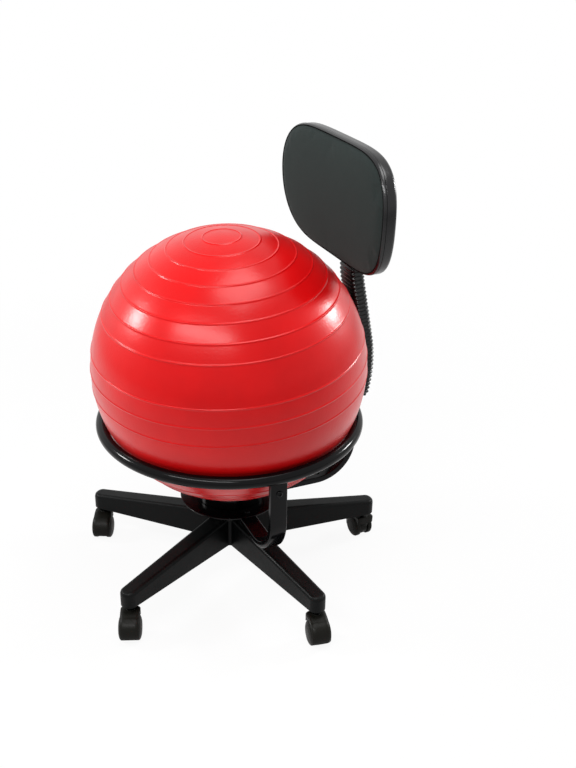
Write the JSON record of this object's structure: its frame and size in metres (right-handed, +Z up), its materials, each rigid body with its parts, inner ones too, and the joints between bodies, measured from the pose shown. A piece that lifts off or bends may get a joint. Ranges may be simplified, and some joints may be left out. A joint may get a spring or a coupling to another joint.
{
  "type": "balance ball chair",
  "caption": "Office chair with an inflated exercise ball in a steel ring, a small padded backrest on a bent bar with a ribbed sleeve, and a five-star base on twin-wheel casters",
  "frame": {"origin": "on the floor under the middle of the chair's bounding box", "axes": "+Z up; the sitter faces -Y, so the backrest is towards +Y; +X is the sitter's left"},
  "size_m": [0.6806, 0.6363, 0.9163],
  "materials": {
    "ball_vinyl": "satin gloss vinyl",
    "black_paint": "gloss black powder coat",
    "base_nylon": "fine matte grain",
    "caster_nylon": "matte",
    "sleeve_rubber": "matte ribbed",
    "back_fabric": "fine charcoal weave",
    "shell_plastic": "gloss black",
    "plywood": "raw moulded plywood",
    "bright_steel": "zinc plated",
    "bush_plastic": "natural nylon",
    "plug_plastic": "moulded white"
  },
  "bodies": {
    "base": {"base_star": "base_nylon", "pedestal_tube": "black_paint", "upper_bush": "bush_plastic", "lower_bush": "bush_plastic", "lower_race": "bright_steel", "bearing_cage": "bush_plastic"},
    "seat": {"upper_race": "bright_steel", "swivel_spindle": "bright_steel", "retaining_clip": "bright_steel", "mounting_plate": "black_paint", "ball_cup": "black_paint", "side_arm_left": "black_paint", "side_arm_right": "black_paint", "back_bar": "black_paint", "support_ring": "black_paint", "left_bar_inner_bolt": "bright_steel", "left_bar_outer_bolt": "black_paint", "right_bar_inner_bolt": "bright_steel", "right_bar_outer_bolt": "black_paint", "back_bar_inner_bolt": "bright_steel", "back_bar_outer_bolt": "black_paint", "arm_screw_left": "black_paint", "arm_screw_right": "black_paint", "bar_sleeve": "sleeve_rubber"},
    "ball_body": {"ball": "ball_vinyl"},
    "valve_body": {"valve_plug": "plug_plastic"},
    "backrest": {"back_cushion": "back_fabric", "back_board": "plywood", "back_shell": "shell_plastic", "bar_carriage": "shell_plastic", "pad_screw_left": "bright_steel", "pad_screw_right": "bright_steel"},
    "knob": {"height_knob": "shell_plastic", "knob_stud": "bright_steel"},
    "rear_caster": {"rear_caster_stem": "black_paint", "rear_caster_hood": "caster_nylon", "rear_caster_axle": "bright_steel"},
    "rear_wheel_a": {"rear_caster_wheel_a": "caster_nylon"},
    "rear_wheel_b": {"rear_caster_wheel_b": "caster_nylon"},
    "right_caster": {"right_caster_stem": "black_paint", "right_caster_hood": "caster_nylon", "right_caster_axle": "bright_steel"},
    "right_wheel_a": {"right_caster_wheel_a": "caster_nylon"},
    "right_wheel_b": {"right_caster_wheel_b": "caster_nylon"},
    "front_right_caster": {"front_right_caster_stem": "black_paint", "front_right_caster_hood": "caster_nylon", "front_right_caster_axle": "bright_steel"},
    "front_right_wheel_a": {"front_right_caster_wheel_a": "caster_nylon"},
    "front_right_wheel_b": {"front_right_caster_wheel_b": "caster_nylon"},
    "front_left_caster": {"front_left_caster_stem": "black_paint", "front_left_caster_hood": "caster_nylon", "front_left_caster_axle": "bright_steel"},
    "front_left_wheel_a": {"front_left_caster_wheel_a": "caster_nylon"},
    "front_left_wheel_b": {"front_left_caster_wheel_b": "caster_nylon"},
    "left_caster": {"left_caster_stem": "black_paint", "left_caster_hood": "caster_nylon", "left_caster_axle": "bright_steel"},
    "left_wheel_a": {"left_caster_wheel_a": "caster_nylon"},
    "left_wheel_b": {"left_caster_wheel_b": "caster_nylon"}
  },
  "joints": [
    {"name": "seat_swivel", "type": "hinge", "parent": "base", "child": "seat", "pos_m": [-0.0127, -0.01238, 0.1], "axis": [0, 0, 1], "continuous": true},
    {"name": "ball_roll_out", "type": "hinge", "parent": "seat", "child": "ball_body", "pos_m": [-0.0127, -0.27294, 0.3565], "axis": [1, 0, 0], "range_deg": [0, 60]},
    {"name": "valve_plug_pull", "type": "slide", "parent": "ball_body", "child": "valve_body", "axis": [-0.6393, 0.7618, 0.1045], "range_m": [0, 0.015]},
    {"name": "backrest_height", "type": "slide", "parent": "seat", "child": "backrest", "axis": [0, 0, 1], "range_m": [-0.02, 0.035], "deforming": ["bar_sleeve"]},
    {"name": "height_knob_turn", "type": "hinge", "parent": "backrest", "child": "knob", "pos_m": [-0.0127, 0.2801, 0.7959], "axis": [0, 1, 0], "range_deg": [0, 360]},
    {"name": "rear_caster_swivel", "type": "hinge", "parent": "base", "child": "rear_caster", "pos_m": [0.02305, 0.29656, 0.058], "axis": [0, 0, 1], "continuous": true},
    {"name": "rear_wheel_a_spin", "type": "hinge", "parent": "rear_caster", "child": "rear_wheel_a", "pos_m": [0.0051, 0.29521, 0.025], "axis": [0.075, -0.9972, 0], "continuous": true},
    {"name": "rear_wheel_b_spin", "type": "hinge", "parent": "rear_caster", "child": "rear_wheel_b", "pos_m": [0.0051, 0.29521, 0.025], "axis": [0.075, -0.9972, 0], "continuous": true},
    {"name": "right_caster_swivel", "type": "hinge", "parent": "base", "child": "right_caster", "pos_m": [-0.29547, 0.11708, 0.058], "axis": [0, 0, 1], "continuous": true},
    {"name": "right_wheel_a_spin", "type": "hinge", "parent": "right_caster", "child": "right_wheel_a", "pos_m": [-0.30687, 0.13101, 0.025], "axis": [-0.7738, -0.6334, 0], "continuous": true},
    {"name": "right_wheel_b_spin", "type": "hinge", "parent": "right_caster", "child": "right_wheel_b", "pos_m": [-0.30687, 0.13101, 0.025], "axis": [-0.7738, -0.6334, 0], "continuous": true},
    {"name": "front_right_caster_swivel", "type": "hinge", "parent": "base", "child": "front_right_caster", "pos_m": [-0.22321, -0.24131, 0.058], "axis": [0, 0, 1], "continuous": true},
    {"name": "front_right_wheel_a_spin", "type": "hinge", "parent": "front_right_caster", "child": "front_right_wheel_a", "pos_m": [-0.20699, -0.24911, 0.025], "axis": [0.4337, 0.9011, 0], "continuous": true},
    {"name": "front_right_wheel_b_spin", "type": "hinge", "parent": "front_right_caster", "child": "front_right_wheel_b", "pos_m": [-0.20699, -0.24911, 0.025], "axis": [0.4337, 0.9011, 0], "continuous": true},
    {"name": "front_left_caster_swivel", "type": "hinge", "parent": "base", "child": "front_left_caster", "pos_m": [0.13997, -0.28333, 0.058], "axis": [0, 0, 1], "continuous": true},
    {"name": "front_left_wheel_a_spin", "type": "hinge", "parent": "front_left_caster", "child": "front_left_wheel_a", "pos_m": [0.15681, -0.28969, 0.025], "axis": [0.3535, 0.9354, 0], "continuous": true},
    {"name": "front_left_wheel_b_spin", "type": "hinge", "parent": "front_left_caster", "child": "front_left_wheel_b", "pos_m": [0.15681, -0.28969, 0.025], "axis": [0.3535, 0.9354, 0], "continuous": true},
    {"name": "left_caster_swivel", "type": "hinge", "parent": "base", "child": "left_caster", "pos_m": [0.29217, 0.04909, 0.058], "axis": [0, 0, 1], "continuous": true},
    {"name": "left_wheel_a_spin", "type": "hinge", "parent": "left_caster", "child": "left_wheel_a", "pos_m": [0.30996, 0.04637, 0.025], "axis": [0.1513, 0.9885, 0], "continuous": true},
    {"name": "left_wheel_b_spin", "type": "hinge", "parent": "left_caster", "child": "left_wheel_b", "pos_m": [0.30996, 0.04637, 0.025], "axis": [0.1513, 0.9885, 0], "continuous": true}
  ]
}
